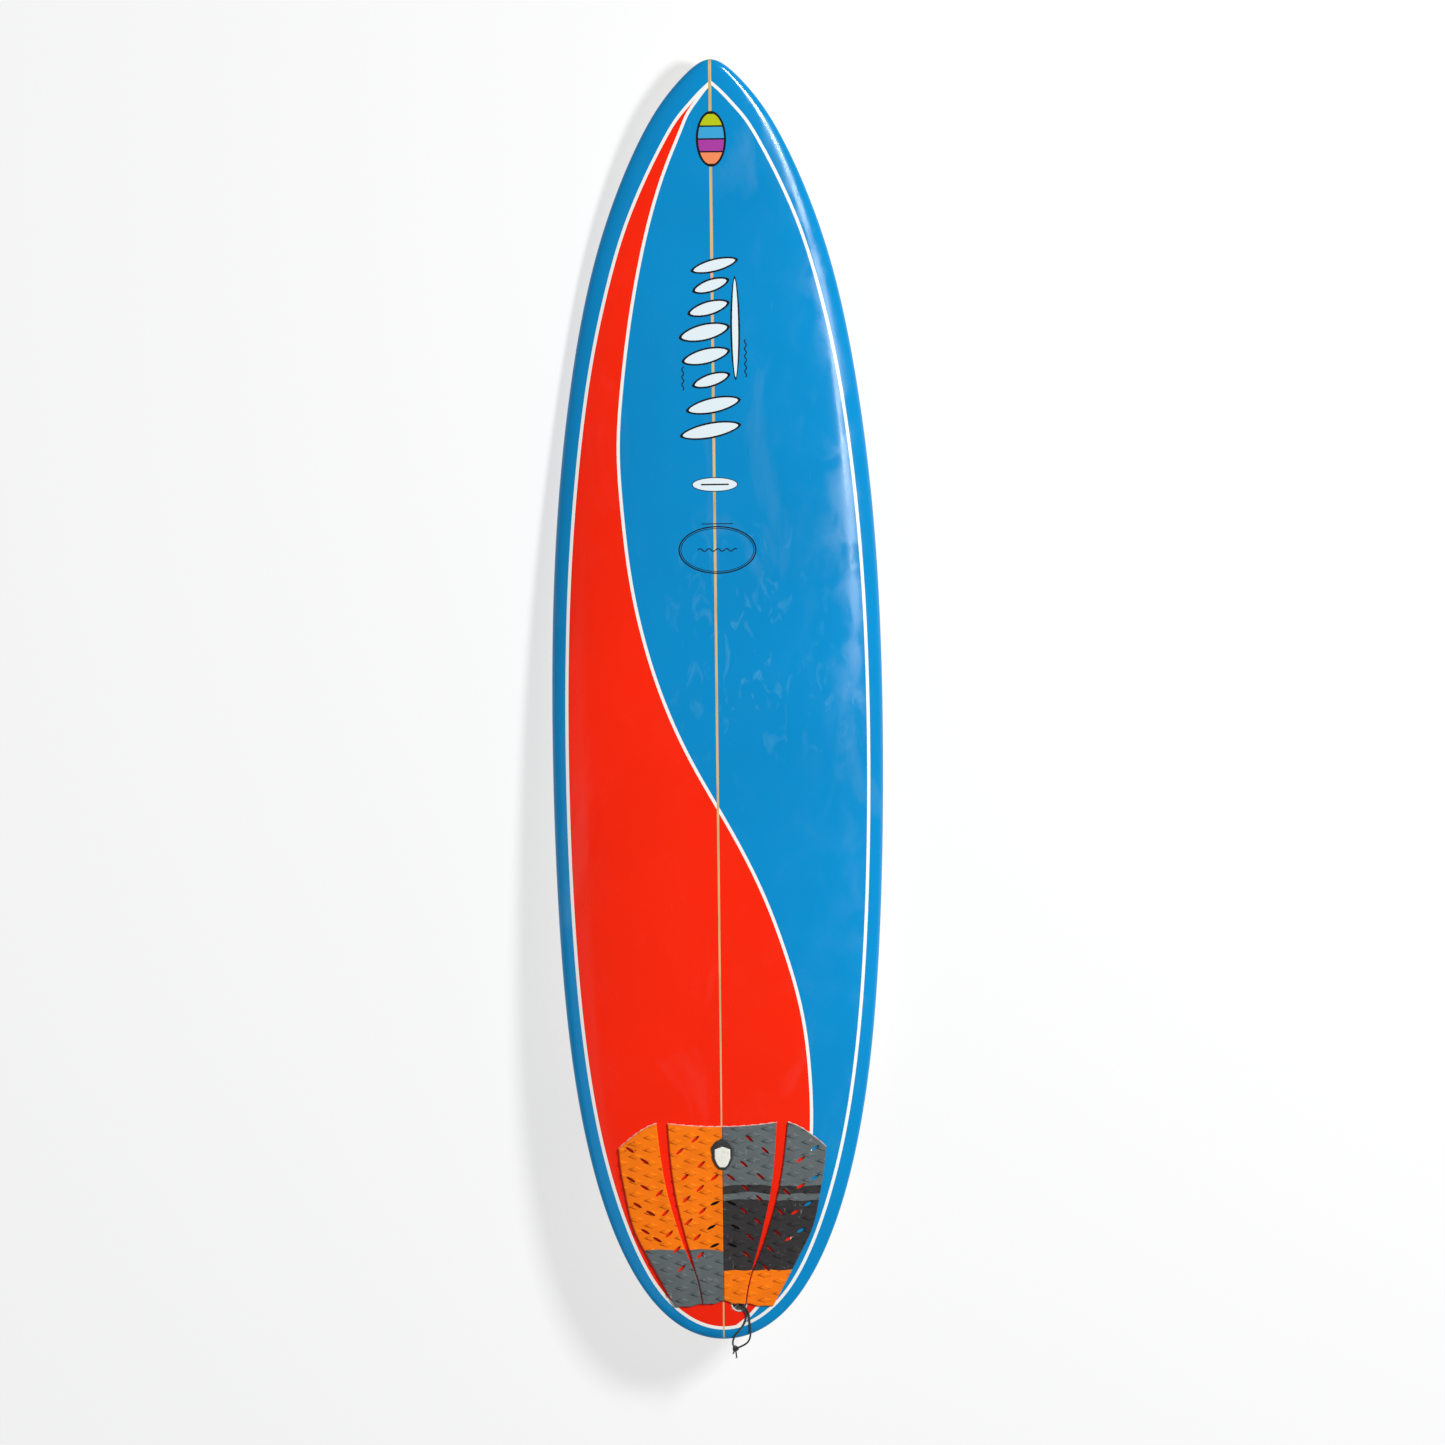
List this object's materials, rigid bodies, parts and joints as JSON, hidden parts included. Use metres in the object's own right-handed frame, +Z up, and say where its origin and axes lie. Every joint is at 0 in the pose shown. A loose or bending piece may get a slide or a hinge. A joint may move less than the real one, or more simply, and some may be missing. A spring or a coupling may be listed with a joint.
{
  "type": "surfboard",
  "caption": "Foam and glass surfboard with a pointed nose, round tail, segmented traction pad, removable fins and a leash plug with its string loop.",
  "frame": {"origin": "on the floor, under the middle of the board without its leash string", "axes": "+Y towards the nose, +Z up from the deck, +X to the right seen from the tail; the board rests on its side fins and forward bottom, so the deck falls about 4.8 degrees towards the nose"},
  "size_m": [0.5256, 2.0653, 0.1827],
  "materials": {
    "deck_gloss": "gloss",
    "bottom_gloss": "gloss",
    "blank_foam": "matte",
    "stringer_wood": "matte",
    "fin_resin": "gloss",
    "fin_plug_plastic": "satin",
    "leash_plug_plastic": "satin",
    "stainless_steel": "satin",
    "string_nylon": "matte",
    "eva_orange": "matte",
    "eva_grey": "matte",
    "eva_black": "matte",
    "adhesive_film": "matte",
    "badge_rubber": "satin"
  },
  "bodies": {
    "board": {"deck_glass": "deck_gloss", "bottom_glass": "bottom_gloss", "foam_blank_left": "blank_foam", "foam_blank_right": "blank_foam", "stringer": "stringer_wood", "leash_plug_cup": "leash_plug_plastic", "leash_plug_pin": "stainless_steel", "leash_string_left": "string_nylon", "leash_string_right": "string_nylon", "leash_string_knot": "string_nylon", "pad_badge": "badge_rubber", "fin_plug_left_front": "fin_plug_plastic", "fin_plug_left_rear": "fin_plug_plastic", "fin_plug_centre_front": "fin_plug_plastic", "fin_plug_centre_rear": "fin_plug_plastic", "fin_plug_right_front": "fin_plug_plastic", "fin_plug_right_rear": "fin_plug_plastic", "pad_adhesive_left_inner": "adhesive_film", "pad_adhesive_left_outer": "adhesive_film", "pad_adhesive_right_inner": "adhesive_film", "pad_adhesive_right_outer": "adhesive_film", "pad_left_inner_grey": "eva_grey", "pad_left_inner_orange": "eva_orange", "pad_right_inner_orange": "eva_orange", "pad_right_inner_black": "eva_black", "pad_right_inner_grey_stripe": "eva_grey", "pad_right_inner_black_stripe": "eva_black", "pad_right_inner_grey": "eva_grey", "pad_left_outer_grey": "eva_grey", "pad_left_outer_orange": "eva_orange", "pad_right_outer_orange": "eva_orange", "pad_right_outer_black": "eva_black", "pad_right_outer_grey_stripe": "eva_grey", "pad_right_outer_black_stripe": "eva_black", "pad_right_outer_grey": "eva_grey"},
    "fin_left_body": {"fin_left": "fin_resin"},
    "grub_screw_left_front_body": {"grub_screw_left_front": "stainless_steel"},
    "grub_screw_left_rear_body": {"grub_screw_left_rear": "stainless_steel"},
    "fin_centre_body": {"fin_centre": "fin_resin"},
    "grub_screw_centre_front_body": {"grub_screw_centre_front": "stainless_steel"},
    "grub_screw_centre_rear_body": {"grub_screw_centre_rear": "stainless_steel"},
    "fin_right_body": {"fin_right": "fin_resin"},
    "grub_screw_right_front_body": {"grub_screw_right_front": "stainless_steel"},
    "grub_screw_right_rear_body": {"grub_screw_right_rear": "stainless_steel"}
  },
  "joints": [
    {"name": "fin_left_slide", "type": "slide", "parent": "board", "child": "fin_left_body", "axis": [-0.087, -0.145, -0.9856], "range_m": [0, 0.024]},
    {"name": "grub_screw_left_front_turn", "type": "hinge", "parent": "board", "child": "grub_screw_left_front_body", "pos_m": [-0.15423, -0.61276, 0.10434], "axis": [0.3416, -0.1588, -0.9264], "range_deg": [0, 1080]},
    {"name": "grub_screw_left_rear_turn", "type": "hinge", "parent": "board", "child": "grub_screw_left_rear_body", "pos_m": [-0.15821, -0.68779, 0.11573], "axis": [0.3416, -0.1588, -0.9264], "range_deg": [0, 1080]},
    {"name": "fin_centre_slide", "type": "slide", "parent": "board", "child": "fin_centre_body", "axis": [0, -0.1741, -0.9847], "range_m": [0, 0.024]},
    {"name": "grub_screw_centre_front_turn", "type": "hinge", "parent": "board", "child": "grub_screw_centre_front_body", "pos_m": [-0.00511, -0.8152, 0.13715], "axis": [-0.4226, -0.1578, -0.8925], "range_deg": [0, 1080]},
    {"name": "grub_screw_centre_rear_turn", "type": "hinge", "parent": "board", "child": "grub_screw_centre_rear_body", "pos_m": [-0.00511, -0.89004, 0.15038], "axis": [-0.4226, -0.1578, -0.8925], "range_deg": [0, 1080]},
    {"name": "fin_right_slide", "type": "slide", "parent": "board", "child": "fin_right_body", "axis": [0.087, -0.145, -0.9856], "range_m": [0, 0.024]},
    {"name": "grub_screw_right_front_turn", "type": "hinge", "parent": "board", "child": "grub_screw_right_front_body", "pos_m": [0.15423, -0.61276, 0.10434], "axis": [-0.3416, -0.1588, -0.9264], "range_deg": [0, 1080]},
    {"name": "grub_screw_right_rear_turn", "type": "hinge", "parent": "board", "child": "grub_screw_right_rear_body", "pos_m": [0.15821, -0.68779, 0.11573], "axis": [-0.3416, -0.1588, -0.9264], "range_deg": [0, 1080]}
  ]
}
